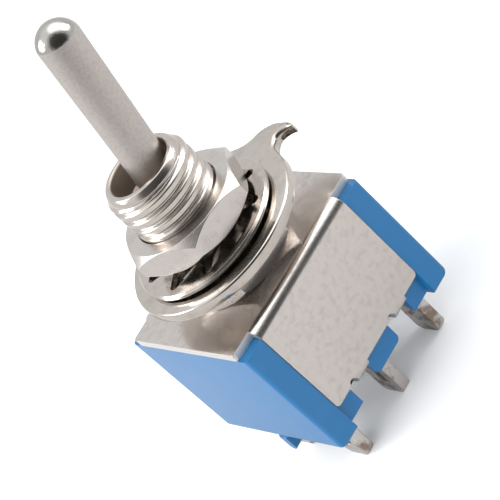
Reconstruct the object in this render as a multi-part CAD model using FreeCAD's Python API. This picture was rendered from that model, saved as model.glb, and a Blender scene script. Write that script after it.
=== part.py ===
"""Miniature two-pole toggle switch, in millimetres.

+Z runs up the bushing, X is the direction in which the lever is thrown, and Y runs across the poles.
The heights below count from the bracket's top face. The finished pieces are then moved down by the
pivot's height, so that the origin is the lever's pivot, level with the upper nut's top face.
"""
import FreeCAD
import Part

import math
import os

# Bracket of bent steel
plate_length = 13.3
plate_thickness = 0.55
bracket_width = 12.0
bend_radius = 0.8
bend_inner_radius = 0.25
side_length = 9.86
side_height = 7.9
side_corner_radius = 0.3
plate_corner_radius = 0.25
lip_length = 1.35
lip_reach = 1.1
relief_radius = 0.27

# Moulded case
ear_inner_x = 5.05
ear_inset = 0.05
ear_drop = 0.3
case_clearance = 0.05
foot_length = 2.7
foot_corner_radius = 0.35
end_wall = 1.05
side_wall = 0.9
floor_thickness = 1.0
cavity_depth = 7.4
barrier_thickness = 0.6
barrier_clearance = 0.5
rib_thickness = 0.6
rib_depth = 1.6
rib_offset = 0.3
rib_tip_radius = 0.25
case_edge_radius = 0.3
seal_pocket_depth = 1.3
seal_thickness = 0.5
seal_margin = 0.35

# Terminals
pitch = 4.7
row_inset = 1.8
lug_thickness = 0.75
lug_width = 2.1
lug_length = 3.88
lug_corner_radius = 0.55
eye_width = 0.75
eye_length = 1.9
eye_to_tip = 1.1
slot_clearance = 0.03
shoulder_width = 2.6
shoulder_height = 0.3
head_length = 1.9
button_radius = 0.7
button_height = 0.4
button_dome = 0.14
fork_prong_width = 0.5
fork_prong_rise = 0.95

# Bushing
thread_radius = 3.0
engaged_radius = 2.76
bushing_height = 9.2
rim_radius = 2.78
rim_height = 0.4
rim_chamfer = 0.24
bore_edge_chamfer = 0.08
thread_lead_in = 0.22
bore_radius = 2.17
bore_depth = 1.8
throat_radius = 1.75
throat_taper = 0.35
seat_angle = 70.0
lower_bore_clearance = 0.1
skirt_flare = 0.3
skirt_height = 1.5
flange_radius = 3.9
flange_thickness = 0.35
keyway_width = 1.1
keyway_depth = 0.5
keyway_end = 1.6
thread_clearance = 0.05

# Nuts and washers
nut_across_flats = 8.0
nut_thickness = 1.88
nut_face_radius = 3.85
nut_chamfer_angle = 38.0
nut_countersink = 0.5
upper_nut_height = 3.84
lower_nut_angle = -5.4
upper_nut_angle = -6.2
locating_radius = 6.2
locating_thickness = 0.75
locating_bore = 3.5
locating_chamfer = 0.16
locating_shift = 0.2
washer_lean_angle = 2.5
hook_root_angle = 17.5
hook_root_hollow = 0.18
hook_shoulder_reach = 1.1
hook_shoulder_side = 0.84
hook_back_bulge = 0.4
hook_reach = 1.93
hook_bend_side = -1.6
hook_tip_reach = 1.66
hook_tip_side = -2.3
hook_tip_bulge = 0.12
hook_throat_reach = 0.9
hook_throat_side = -1.28
hook_inner_hollow = 0.18
hook_foot_hollow = 0.09
hook_corner_radius = 0.15
key_width = 0.9
key_clearance = 0.15
spring_washer_radius = 5.15
spring_washer_ring = 0.7
spring_washer_thickness = 0.42
spring_washer_chamfer = 0.13
spring_washer_bore = 3.2
spring_washer_play = 0.06
tooth_count = 10
tooth_root_width = 2.1
tooth_tip_width = 1.15
tooth_tip_thickness = 0.36
tooth_twist_angle = 17.0
tooth_turn_angle = -7.0
tooth_gap_radius = 0.32
tooth_gap_reach = 4.6
tooth_root_length = 0.2

# Lever
lever_lean_angle = 11.2
lever_neck_radius = 1.26
lever_tip_radius = 1.45
lever_reach = 12.5
lever_dome = 1.2
ball_radius = 1.9
seat_clearance = 0.05
stem_radius = 0.8
pin_radius = 0.5
pin_length = 4.7
pin_clearance = 0.05
press_clearance = 0.01

# Carriage, plungers and springs inside the case
carriage_length = 3.0
carriage_side_wall = 0.9
carriage_top_depth = 1.5
carriage_floor_gap = 3.2
carriage_chamfer = 0.3
stem_socket_floor = 0.8
plunger_radius = 0.8
plunger_clearance = 0.05
plunger_tip_radius = 0.55
plunger_tip_chamfer = 0.3
plunger_head_length = 0.7
plunger_socket_roof = 0.5
plunger_head_inset = 0.05
spring_wire_radius = 0.1
spring_mean_radius = 0.58
spring_turns = 3
spring_wire_flats = 4
spring_end_clearance = 0.02

# Rocker contacts
fulcrum_height = 0.8
rocker_rise = 0.6
rocker_thickness = 0.35
rocker_width = 2.0
rocker_neck_width = 1.0
rocker_neck_length = 1.3
rocker_half_length = 4.45
rocker_arm_angle = 13.2
rocker_tilt_angle = 8.0
rocker_clearance = 0.05
rocker_contact_radius = 0.7
rocker_contact_height = 0.25
rocker_contact_reach = 3.9
contact_gap = 0.05
plunger_gap = 0.16

# Places that follow from the sizes above
side_face = bracket_width / 2
plate_flat = side_face - bend_radius
inner_face = side_face - plate_thickness
case_side = inner_face - case_clearance
case_top = -plate_thickness
case_height = cavity_depth + floor_thickness + seal_pocket_depth
case_bottom = -case_height
cavity_floor = -cavity_depth
floor_bottom = cavity_floor - floor_thickness
lug_tip = case_bottom - lug_length
cavity_x = plate_length / 2 - end_wall
cavity_y = case_side - side_wall
row_y = cavity_y - row_inset
ledge_y = side_face - lip_reach
pocket_outer = row_y + lug_width / 2 + seal_margin
lip_bottom = -side_height - plate_thickness
fulcrum_radius = lug_thickness / 2
rocker_pivot_depth = cavity_depth - fulcrum_height
fulcrum_top = -rocker_pivot_depth + fulcrum_radius
seat_radius = ball_radius + seat_clearance
lower_bore_radius = ball_radius + lower_bore_clearance
skirt_radius = lower_bore_radius + skirt_flare
carriage_height = cavity_depth - carriage_floor_gap - carriage_top_depth
stem_socket_depth = carriage_height - stem_socket_floor
plunger_socket_depth = carriage_height - plunger_socket_roof
barrier_top_depth = carriage_top_depth + carriage_height + barrier_clearance
pivot_height = upper_nut_height + nut_thickness
pivot = FreeCAD.Vector(0, 0, pivot_height)
x_axis = FreeCAD.Vector(1, 0, 0)
y_axis = FreeCAD.Vector(0, 1, 0)
z_axis = FreeCAD.Vector(0, 0, 1)


def block(x0, x1, y0, y1, z0, z1):
    """A box between two corners."""
    corner = FreeCAD.Vector(min(x0, x1), min(y0, y1), min(z0, z1))
    return Part.makeBox(abs(x1 - x0), abs(y1 - y0), abs(z1 - z0), corner)


def rod(radius, z0, z1, x=0.0, y=0.0):
    """An upright cylinder."""
    return Part.makeCylinder(radius, z1 - z0, FreeCAD.Vector(x, y, z0), z_axis)


def wire(points, place):
    """A closed wire through points. A point is a pair, or (mid pair, end pair) for an arc."""
    edges = []
    start = points[0]
    here = start
    for step in points[1:] + [start]:
        if isinstance(step[0], tuple):
            middle, end = step
            edges.append(Part.Arc(place(*here), place(*middle), place(*end)).toShape())
            here = end
        else:
            if place(*here).distanceToPoint(place(*step)) > 1e-6:
                edges.append(Part.LineSegment(place(*here), place(*step)).toShape())
            here = step
    return Part.Wire(edges)


def turned(points):
    """A solid of revolution about Z, from an outline in radius and height."""
    outline = wire(points, lambda r, z: FreeCAD.Vector(r, 0, z))
    return Part.Face(outline).revolve(FreeCAD.Vector(0, 0, 0), z_axis, 360)


def profile_along_x(points, x0, x1):
    """An outline in Y and Z, carried from x0 to x1."""
    outline = wire(points, lambda y, z: FreeCAD.Vector(x0, y, z))
    return Part.Face(outline).extrude(FreeCAD.Vector(x1 - x0, 0, 0))


def profile_along_y(points, y0, y1):
    """An outline in X and Z, carried from y0 to y1."""
    outline = wire(points, lambda x, z: FreeCAD.Vector(x, y0, z))
    return Part.Face(outline).extrude(FreeCAD.Vector(0, y1 - y0, 0))


def profile_along_z(points, z0, z1):
    """An outline in X and Y, carried from z0 to z1."""
    outline = wire(points, lambda x, y: FreeCAD.Vector(x, y, z0))
    return Part.Face(outline).extrude(FreeCAD.Vector(0, 0, z1 - z0))


def edges_along(shape, axis, test):
    """The straight edges that run along an axis and whose middle passes the test."""
    chosen = []
    for edge in shape.Edges:
        if len(edge.Vertexes) < 2:
            continue
        ends = edge.Vertexes[1].Point - edge.Vertexes[0].Point
        straight = abs(ends.Length - edge.Length) < 1e-4
        if straight and abs(abs(ends.dot(axis)) - ends.Length) < 1e-5:
            middle = (edge.Vertexes[1].Point + edge.Vertexes[0].Point) / 2
            if test(middle):
                chosen.append(edge)
    return chosen


def leaned(shape, angle, centre):
    """A copy of the shape, leaned towards +X about a centre."""
    copy = shape.copy()
    copy.rotate(centre, y_axis, angle)
    return copy


def make_bracket():
    """The bent bracket: top plate, two sides and the lips folded under the case."""
    outer = side_face
    corner = bend_radius * (1 - math.sqrt(0.5))
    inner_corner = bend_inner_radius * (1 - math.sqrt(0.5))
    inner_flat = inner_face - bend_inner_radius
    inner_top = -plate_thickness - bend_inner_radius
    section = [
        (-outer, -side_height),
        (-outer, -bend_radius),
        ((-outer + corner, -corner), (-plate_flat, 0.0)),
        (plate_flat, 0.0),
        ((outer - corner, -corner), (outer, -bend_radius)),
        (outer, -side_height),
        (inner_face, -side_height),
        (inner_face, inner_top),
        ((inner_face - inner_corner, -plate_thickness - inner_corner), (inner_flat, -plate_thickness)),
        (-inner_flat, -plate_thickness),
        ((-inner_face + inner_corner, -plate_thickness - inner_corner), (-inner_face, inner_top)),
        (-inner_face, -side_height),
    ]
    sides = profile_along_x(section, -side_length / 2, side_length / 2)
    lower = edges_along(sides, y_axis, lambda m: m.z < -side_height + 1e-3)
    sides = sides.makeFillet(side_corner_radius, lower)
    plate = block(-plate_length / 2, plate_length / 2, -plate_flat, plate_flat, -plate_thickness, 0)
    plate = plate.makeFillet(plate_corner_radius, edges_along(plate, z_axis, lambda m: True))
    bracket = sides.fuse(plate)
    for place in (-pitch, 0.0):
        start = place + foot_length / 2
        end = place + pitch - foot_length / 2
        for side in (-1, 1):
            bracket = bracket.fuse(make_lip(end - lip_length, end - case_clearance, side))
            relief_x = start + relief_radius
            relief = Part.makeCylinder(
                relief_radius, 2 * plate_thickness,
                FreeCAD.Vector(relief_x, side * side_face - plate_thickness, -side_height), y_axis)
            bracket = bracket.cut(relief)
    hole = rod(thread_radius + thread_clearance, -2 * plate_thickness, plate_thickness)
    return bracket.cut(hole).removeSplitter()


def make_lip(x0, x1, side):
    """One lip of a side plate, bent inwards under the wall of the case."""
    corner = plate_thickness * (1 - math.sqrt(0.5))
    outer = side * side_face
    inner = side * ledge_y
    bend_end = side * inner_face
    section = [
        (outer, -side_height),
        ((outer - side * corner, lip_bottom + corner), (bend_end, lip_bottom)),
        (inner, lip_bottom),
        (inner, -side_height),
    ]
    return profile_along_x(section, x0, x1)


def make_case():
    """The moulded case: cavity, ears, feet, floor slots, barrier and the rib between the rows."""
    half_length = plate_length / 2
    half_ear = side_face - ear_inset
    case = block(-ear_inner_x, ear_inner_x, -case_side, case_side, -side_height, case_top)
    upper = edges_along(case, x_axis, lambda m: m.z > case_top - 1e-3)
    case = case.makeFillet(bend_inner_radius + case_clearance, upper)
    case = case.fuse(block(-half_length, half_length, -ledge_y, ledge_y, case_bottom, case_top))
    for side in (-1, 1):
        ear = block(side * ear_inner_x, side * half_length, -half_ear, half_ear,
                    case_bottom - ear_drop, case_top)
        outer = edges_along(ear, z_axis, lambda m: abs(m.x) > half_length - 1e-3)
        lower = edges_along(ear, x_axis, lambda m: m.z < case_bottom)
        ear = ear.makeFillet(case_edge_radius, outer + lower)
        case = case.fuse(ear)
        for place in (-pitch, 0.0, pitch):
            case = case.fuse(make_foot(place, side))
    case = case.cut(block(-cavity_x, cavity_x, -cavity_y, cavity_y, cavity_floor, case_top))
    half_barrier = barrier_thickness / 2
    case = case.fuse(block(-cavity_x, cavity_x, -half_barrier, half_barrier,
                           cavity_floor, -barrier_top_depth))
    for side in (-1, 1):
        case = case.cut(pocket(side, case_bottom - ear_drop, floor_bottom))
    rib = make_rib()
    case = case.fuse(rib)
    for x in (-pitch, 0.0, pitch):
        for side in (-1, 1):
            case = case.cut(blade_space(x, side * row_y, slot_clearance))
    return case.removeSplitter()


def make_foot(x, side):
    """One foot of the case, outside the row of lugs."""
    outer = side * case_side
    inner = side * pocket_outer
    foot = block(x - foot_length / 2, x + foot_length / 2, outer, inner, case_bottom, floor_bottom)
    if abs(x) < pitch / 2:
        upright = edges_along(foot, y_axis, lambda m: m.z < case_bottom + 1e-3)
        foot = foot.makeFillet(foot_corner_radius, upright)
    upper = block(x - foot_length / 2, x + foot_length / 2, outer, inner, floor_bottom, -side_height)
    return foot.fuse(upper)


def make_rib():
    """The rib that stands between the two rows of lugs."""
    bottom = case_bottom - rib_depth
    half = rib_thickness / 2
    section = [
        (rib_offset - half, floor_bottom),
        (rib_offset - half, bottom + rib_tip_radius),
        ((rib_offset, bottom), (rib_offset + half, bottom + rib_tip_radius)),
        (rib_offset + half, floor_bottom),
    ]
    return profile_along_x(section, -plate_length / 2, plate_length / 2)


def pocket(side, z0, z1):
    """The space round one row of lugs that the seal is poured into."""
    y0 = rib_offset * (side > 0) + rib_thickness / 2
    return block(-cavity_x, cavity_x, side * y0, side * pocket_outer, z0, z1)


def blade_space(x, y, clearance):
    """The space that one blade takes through the floor."""
    half_x = lug_thickness / 2 + clearance
    half_y = lug_width / 2 + clearance
    return block(x - half_x, x + half_x, y - half_y, y + half_y, case_bottom, cavity_floor)


def make_seal(side):
    """The poured seal round one row of lugs."""
    seal = pocket(side, floor_bottom - seal_thickness, floor_bottom)
    for x in (-pitch, 0.0, pitch):
        seal = seal.cut(blade_space(x, side * row_y, 0.0))
    return seal


def make_blade(x, y, top):
    """The blade of a terminal with its lug, as thick along X as the strip it is cut from."""
    half_width = lug_width / 2
    corner = lug_corner_radius * (1 - math.sqrt(0.5))
    section = [
        (y - half_width, top),
        (y - half_width, lug_tip + lug_corner_radius),
        ((y - half_width + corner, lug_tip + corner), (y - half_width + lug_corner_radius, lug_tip)),
        (y + half_width - lug_corner_radius, lug_tip),
        ((y + half_width - corner, lug_tip + corner), (y + half_width, lug_tip + lug_corner_radius)),
        (y + half_width, top),
    ]
    blade = profile_along_x(section, x - lug_thickness / 2, x + lug_thickness / 2)
    return blade.cut(make_eye(x, y))


def make_eye(x, y):
    """The oblong eye of a lug, through its thickness."""
    radius = eye_width / 2
    low = lug_tip + eye_to_tip + radius
    high = lug_tip + eye_to_tip + eye_length - radius
    section = [
        (y - radius, low),
        ((y, low - radius), (y + radius, low)),
        (y + radius, high),
        ((y, high + radius), (y - radius, high)),
    ]
    return profile_along_x(section, x - lug_thickness, x + lug_thickness)


def make_end_terminal(side_x, side_y):
    """An outer terminal: blade, head folded over the floor, and a domed contact button."""
    x = side_x * pitch
    y = side_y * row_y
    button_top, button_x = contact_place()
    head_top = button_top - button_dome - button_height
    outer = side_x * (pitch + lug_thickness / 2)
    inner = outer - side_x * head_length
    radius = min(lug_thickness, head_top - cavity_floor) * 0.9
    corner = radius * (1 - math.sqrt(0.5))
    section = [
        (inner, cavity_floor),
        (inner, head_top),
        (outer - side_x * radius, head_top),
        ((outer - side_x * corner, head_top - corner), (outer, head_top - radius)),
        (outer, cavity_floor),
    ]
    head = profile_along_y(section, y - lug_width / 2, y + lug_width / 2)
    button = turned([
        (0.0, head_top),
        (button_radius, head_top),
        (button_radius, button_top - button_dome),
        (button_radius - button_dome, button_top),
        (0.0, button_top),
    ])
    button.translate(FreeCAD.Vector(side_x * button_x, y, 0))
    return make_blade(x, y, cavity_floor).fuse([head, button]).removeSplitter()


def contact_place():
    """Height of a fixed contact's top and its distance from the middle, under a closed rocker."""
    arm = math.radians(rocker_arm_angle)
    tilt = math.radians(rocker_tilt_angle)
    drop = rocker_thickness / 2 + rocker_contact_height
    x = rocker_contact_reach * math.cos(arm) + drop * math.sin(arm)
    z = rocker_rise + rocker_contact_reach * math.sin(arm) - drop * math.cos(arm)
    closed_x = x * math.cos(tilt) + z * math.sin(tilt)
    closed_z = -x * math.sin(tilt) + z * math.cos(tilt)
    return -rocker_pivot_depth + closed_z - contact_gap, closed_x


def make_common_terminal(side_y):
    """A middle terminal: blade, shoulders on the floor and a fork that carries the rocker."""
    y = side_y * row_y
    half = lug_width / 2
    notch = half - fork_prong_width
    crown_side = (lug_thickness / 2, -rocker_pivot_depth)
    fulcrum = [
        (-crown_side[0], cavity_floor),
        (-crown_side[0], crown_side[1]),
        ((0.0, fulcrum_top), crown_side),
        (crown_side[0], cavity_floor),
    ]
    saddle = profile_along_y(fulcrum, y - notch, y + notch)
    shoulders = block(-lug_thickness / 2, lug_thickness / 2, y - shoulder_width / 2,
                      y + shoulder_width / 2, cavity_floor, cavity_floor + shoulder_height)
    prongs = [block(-lug_thickness / 2, lug_thickness / 2, y + s * half, y + s * notch,
                    cavity_floor, fulcrum_top + fork_prong_rise) for s in (-1, 1)]
    pieces = [saddle, shoulders] + prongs
    return make_blade(0.0, y, cavity_floor).fuse(pieces).removeSplitter()


def make_rocker(side_y):
    """A rocker contact: a shallow V of strip on a saddle, with a contact under each arm."""
    y = side_y * row_y
    arm = math.radians(rocker_arm_angle)
    half = rocker_thickness / 2
    end_x = rocker_half_length * math.cos(arm)
    end_z = rocker_rise + rocker_half_length * math.sin(arm)
    top_apex = rocker_rise + half / math.cos(arm)
    low_apex = rocker_rise - half / math.cos(arm)
    shift_x = half * math.sin(arm)
    shift_z = half * math.cos(arm)
    strip = profile_along_y([
        (0.0, top_apex),
        (end_x - shift_x, end_z + shift_z),
        (end_x + shift_x, end_z - shift_z),
        (0.0, low_apex),
        (-end_x - shift_x, end_z - shift_z),
        (-end_x + shift_x, end_z + shift_z),
    ], -rocker_width / 2, rocker_width / 2)
    half_neck = rocker_neck_length / 2
    for side in (-1, 1):
        strip = strip.cut(block(-half_neck, half_neck, side * rocker_neck_width / 2,
                                side * rocker_width, 0, top_apex + 1))
    saddle_radius = fulcrum_radius + rocker_clearance
    cheek = half_neck - rocker_clearance
    saddle = block(-cheek, cheek, -rocker_neck_width / 2, rocker_neck_width / 2, 0.0, rocker_rise)
    bore = Part.makeCylinder(saddle_radius, rocker_width,
                             FreeCAD.Vector(0, -rocker_width / 2, 0), y_axis)
    contacts = []
    for side in (-1, 1):
        contact = rod(rocker_contact_radius, -half - rocker_contact_height, 0.0,
                      side * rocker_contact_reach)
        contact.rotate(FreeCAD.Vector(0, 0, 0), y_axis, -side * rocker_arm_angle)
        contact.translate(FreeCAD.Vector(0, 0, rocker_rise))
        contacts.append(contact)
    rocker = strip.fuse([saddle] + contacts).cut(bore).removeSplitter()
    rocker.translate(FreeCAD.Vector(0, y, -rocker_pivot_depth))
    centre = FreeCAD.Vector(0, 0, -rocker_pivot_depth)
    return leaned(rocker, -rocker_tilt_angle, centre)


def make_bushing():
    """The bushing: barrel for the thread, flange, conical ball seat, pin slots and keyway.

    Inside a nut the barrel is drawn at the radius where the two threads meet.
    """
    slope = math.radians(seat_angle)
    bore_floor = bushing_height - bore_depth
    thread_top = bushing_height - rim_height
    flange_top = -plate_thickness
    flange_bottom = flange_top - flange_thickness
    outline = [
        (skirt_radius, flange_bottom),
        (flange_radius, flange_bottom),
        (flange_radius, flange_top),
        (thread_radius, flange_top),
        (thread_radius, 0.0),
        (engaged_radius, 0.0),
        (engaged_radius, nut_thickness),
        (thread_radius, nut_thickness),
        (thread_radius, upper_nut_height),
        (engaged_radius, upper_nut_height),
        (engaged_radius, pivot_height),
        (thread_radius, pivot_height),
        (thread_radius, thread_top - thread_lead_in),
        (rim_radius, thread_top),
        (rim_radius, bushing_height - rim_chamfer),
        (rim_radius - rim_chamfer, bushing_height),
        (bore_radius + bore_edge_chamfer, bushing_height),
        (bore_radius, bushing_height - bore_edge_chamfer),
        (bore_radius, bore_floor),
        (throat_radius, bore_floor - throat_taper),
    ]
    for radius in (throat_radius, lower_bore_radius):
        rise = (seat_radius - radius * math.sin(slope)) / math.cos(slope)
        outline.append((radius, pivot_height + rise))
    outline.append((lower_bore_radius, skirt_height))
    bushing = turned(outline)
    slot_half = pin_radius + pin_clearance
    slot_reach = pin_length / 2 + pin_clearance
    slot_top = Part.makeCylinder(slot_half, 2 * slot_reach,
                                 FreeCAD.Vector(0, -slot_reach, pivot_height), y_axis)
    slot = block(-slot_half, slot_half, -slot_reach, slot_reach, flange_bottom, pivot_height)
    keyway = block(thread_radius - keyway_depth, flange_radius, -keyway_width / 2, keyway_width / 2,
                   0.0, bushing_height - keyway_end)
    return bushing.cut([slot, slot_top, keyway]).removeSplitter()


def make_nut(bottom, turn):
    """A hexagonal nut, chamfered on both faces, with a countersunk bore."""
    corner = nut_across_flats / math.sqrt(3)
    hexagon = [(corner * math.cos(math.radians(turn + 60 * k)),
                corner * math.sin(math.radians(turn + 60 * k))) for k in range(6)]
    body = profile_along_z(hexagon, 0.0, nut_thickness)
    chamfer = (corner - nut_face_radius) * math.tan(math.radians(nut_chamfer_angle))
    envelope = turned([
        (0.0, 0.0),
        (nut_face_radius, 0.0),
        (corner, chamfer),
        (corner, nut_thickness - chamfer),
        (nut_face_radius, nut_thickness),
        (0.0, nut_thickness),
    ])
    bore_side = engaged_radius + press_clearance
    sink = bore_side + 2 * nut_countersink
    bore = turned([
        (0.0, -nut_countersink),
        (sink, -nut_countersink),
        (bore_side, nut_countersink),
        (bore_side, nut_thickness - nut_countersink),
        (sink, nut_thickness + nut_countersink),
        (0.0, nut_thickness + nut_countersink),
    ])
    nut = body.common(envelope).cut(bore)
    nut.translate(FreeCAD.Vector(0, 0, bottom))
    return nut


def arc_middle(start, end, offset):
    """The middle of an arc between two points, offset to the right of the chord."""
    along_x = end[0] - start[0]
    along_y = end[1] - start[1]
    length = math.hypot(along_x, along_y)
    return ((start[0] + end[0]) / 2 + along_y / length * offset,
            (start[1] + end[1]) / 2 - along_x / length * offset)


def make_locating_washer():
    """The locating washer: ring, inner key in the keyway and hooked tab on the +X side."""
    bevel = locating_radius - locating_chamfer
    ring = turned([
        (0.0, 0.0),
        (bevel, 0.0),
        (locating_radius, locating_chamfer),
        (locating_radius, locating_thickness - locating_chamfer),
        (bevel, locating_thickness),
        (0.0, locating_thickness),
    ])
    ring.translate(FreeCAD.Vector(locating_shift, 0, 0))
    root = math.radians(hook_root_angle)
    root_x = locating_shift + locating_radius * math.cos(root)
    root_y = locating_radius * math.sin(root)
    turns = [
        ((root_x, root_y), hook_root_hollow),
        ((locating_radius + hook_shoulder_reach, hook_shoulder_side), -hook_back_bulge),
        ((locating_radius + hook_reach, hook_bend_side), -hook_tip_bulge),
        ((locating_radius + hook_tip_reach, hook_tip_side), hook_inner_hollow),
        ((locating_radius + hook_throat_reach, hook_throat_side), hook_foot_hollow),
        ((root_x, -root_y), 0.0),
    ]
    outline = [turns[0][0]]
    for (start, offset), (end, unused) in zip(turns, turns[1:]):
        outline.append((arc_middle(start, end, offset), end))
    outline.append((locating_bore, 0.0))
    tab = profile_along_z(outline, 0.0, locating_thickness)
    tab = tab.makeFillet(hook_corner_radius, edges_along(tab, z_axis, lambda m: m.x > locating_radius + 0.5))
    key = block(thread_radius - keyway_depth + key_clearance, locating_bore + locating_thickness,
                -key_width / 2, key_width / 2, 0.0, locating_thickness)
    washer = ring.fuse(tab).cut(rod(locating_bore, -locating_thickness, 2 * locating_thickness))
    washer = washer.fuse(key).removeSplitter()
    return on_lower_nut(washer, 0.0)


def on_lower_nut(washer, lift):
    """A washer lifted off the lower nut, which it leans on at the nut's -X edge."""
    placed = washer.copy()
    placed.translate(FreeCAD.Vector(0, 0, lift))
    placed = leaned(placed, -washer_lean_angle, FreeCAD.Vector(-nut_face_radius, 0, 0))
    placed.translate(FreeCAD.Vector(0, 0, nut_thickness))
    return placed


def make_spring_washer():
    """The spring washer with twisted inner teeth, parallel to the locating washer."""
    inner = spring_washer_radius - spring_washer_ring
    half = spring_washer_thickness / 2
    bevel = spring_washer_radius - spring_washer_chamfer
    side = half - spring_washer_chamfer
    washer = turned([
        (inner, -half),
        (bevel, -half),
        (spring_washer_radius, -side),
        (spring_washer_radius, side),
        (bevel, half),
        (inner, half),
    ])
    teeth = []
    gaps = []
    gap_middle = tooth_gap_reach - tooth_gap_radius
    for index in range(tooth_count):
        tooth = make_tooth(inner, half)
        gap = rod(tooth_gap_radius, -spring_washer_thickness, spring_washer_thickness, gap_middle)
        tooth.rotate(FreeCAD.Vector(0, 0, 0), z_axis, tooth_turn_angle + index * 360 / tooth_count)
        gap.rotate(FreeCAD.Vector(0, 0, 0), z_axis, tooth_turn_angle + (index + 0.5) * 360 / tooth_count)
        teeth.append(tooth)
        gaps.append(gap)
    washer = washer.fuse(teeth).cut(gaps).removeSplitter()
    twist = math.radians(tooth_twist_angle)
    tip_drop = (tooth_tip_width * math.sin(twist) + tooth_tip_thickness * math.cos(twist)) / 2
    return on_lower_nut(washer, locating_thickness + tip_drop + spring_washer_play)


def make_tooth(inner, half):
    """One tooth of the spring washer along +X: a flat root in the ring and a twisted tip."""
    root_x = inner - tooth_root_length
    half_root = tooth_root_width / 2
    root = block(root_x, inner + tooth_root_length / 2, -half_root, half_root, -half, half)
    ends = []
    for x, width, thickness, twist in (
            (root_x, tooth_root_width, spring_washer_thickness, 0.0),
            (spring_washer_bore, tooth_tip_width, tooth_tip_thickness, tooth_twist_angle)):
        corners = [FreeCAD.Vector(x, y * width / 2, z * thickness / 2)
                   for y, z in ((-1, -1), (1, -1), (1, 1), (-1, 1))]
        end = Part.makePolygon(corners + corners[:1])
        end.rotate(FreeCAD.Vector(0, 0, 0), x_axis, twist)
        ends.append(end)
    return root.fuse(Part.makeLoft(ends, True, True))


def make_lever():
    """The lever: domed grip that widens to its end, ball, and stem, drilled for its pin."""
    neck_rise = math.sqrt(ball_radius ** 2 - lever_neck_radius ** 2)
    stem_drop = math.sqrt(ball_radius ** 2 - stem_radius ** 2)
    stem_end = carriage_top() - stem_socket_depth + press_clearance
    dome_radius = (lever_tip_radius ** 2 + lever_dome ** 2) / (2 * lever_dome)
    half_angle = math.asin(min(1.0, lever_tip_radius / dome_radius)) / 2
    tip = pivot_height + lever_reach
    dome_middle = (dome_radius * math.sin(half_angle),
                   tip + lever_dome - dome_radius * (1 - math.cos(half_angle)))
    lever = turned([
        (0.0, stem_end),
        (stem_radius, stem_end),
        (stem_radius, pivot_height - stem_drop),
        ((ball_radius, pivot_height), (lever_neck_radius, pivot_height + neck_rise)),
        (lever_tip_radius, tip),
        (dome_middle, (0.0, tip + lever_dome)),
    ])
    hole = Part.makeCylinder(pin_radius + press_clearance, 2 * ball_radius,
                             FreeCAD.Vector(0, -ball_radius, pivot_height), y_axis)
    return leaned(lever.cut(hole), lever_lean_angle, pivot)


def make_pin():
    """The cross pin in the ball."""
    pin = Part.makeCylinder(pin_radius, pin_length,
                            FreeCAD.Vector(0, -pin_length / 2, pivot_height), y_axis)
    return leaned(pin, lever_lean_angle, pivot)


def carriage_top():
    """Height of the carriage's top face with the lever upright."""
    return -carriage_top_depth


def plunger_tip_height():
    """Lowest point of a plunger with the lever upright, over the rocker's hollow."""
    half = rocker_thickness / 2
    hollow = -rocker_pivot_depth + rocker_rise + half / math.cos(math.radians(rocker_arm_angle))
    return hollow + plunger_gap


def make_carriage():
    """The moulded carriage on the stem, with a socket for each plunger."""
    top = carriage_top()
    bottom = top - carriage_height
    half_x = carriage_length / 2
    half_y = row_y + carriage_side_wall
    carriage = block(-half_x, half_x, -half_y, half_y, bottom, top)
    carriage = carriage.makeChamfer(carriage_chamfer, edges_along(carriage, z_axis, lambda m: True))
    carriage = carriage.cut(rod(stem_radius + press_clearance, top - stem_socket_depth, top))
    for side in (-1, 1):
        carriage = carriage.cut(rod(plunger_radius + plunger_clearance, bottom,
                                    bottom + plunger_socket_depth, 0.0, side * row_y))
    return leaned(carriage, lever_lean_angle, pivot)


def make_plunger(side_y):
    """A plunger: head in its socket, shank and round tip."""
    tip = plunger_tip_height()
    bottom = carriage_top() - carriage_height + plunger_head_inset
    tip_flat = plunger_tip_radius - plunger_tip_chamfer
    plunger = turned([
        (0.0, tip),
        (tip_flat, tip),
        (plunger_tip_radius, tip + plunger_tip_chamfer),
        (plunger_tip_radius, bottom),
        (plunger_radius, bottom),
        (plunger_radius, bottom + plunger_head_length),
        (0.0, bottom + plunger_head_length),
    ])
    plunger.translate(FreeCAD.Vector(0, side_y * row_y, 0))
    return leaned(plunger, lever_lean_angle, pivot)


def make_spring(side_y):
    """The coil spring above a plunger, of half rings that lean to and fro."""
    socket_top = carriage_top() - carriage_height + plunger_socket_depth
    head_top = carriage_top() - carriage_height + plunger_head_inset + plunger_head_length
    margin = spring_wire_radius + spring_end_clearance
    low = head_top + margin
    rise = (socket_top - head_top - 2 * margin) / (2 * spring_turns)
    corners = []
    for index in range(spring_wire_flats + 1):
        angle = 2 * math.pi * index / spring_wire_flats
        corners.append(FreeCAD.Vector(spring_mean_radius + spring_wire_radius * math.cos(angle), 0,
                                      low + spring_wire_radius * math.sin(angle)))
    section = Part.makePolygon(corners)
    faces = [Part.Face(section)]
    for index in range(2 * spring_turns):
        side = 1 if index % 2 == 0 else -1
        axis = FreeCAD.Vector(side * rise, 0, 2 * spring_mean_radius)
        centre = FreeCAD.Vector(0, 0, low + (index + 0.5) * rise)
        faces.extend(section.revolve(centre, axis, 180).Faces)
        section = section.copy()
        section.rotate(centre, axis, 180)
    faces.append(Part.Face(section))
    skin = Part.makeCompound(faces)
    skin.sewShape()
    coil = Part.makeSolid(skin.Shells[0])
    if coil.Volume < 0:
        coil.reverse()
    coil.translate(FreeCAD.Vector(0, side_y * row_y, 0))
    return leaned(coil, lever_lean_angle, pivot)


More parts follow.
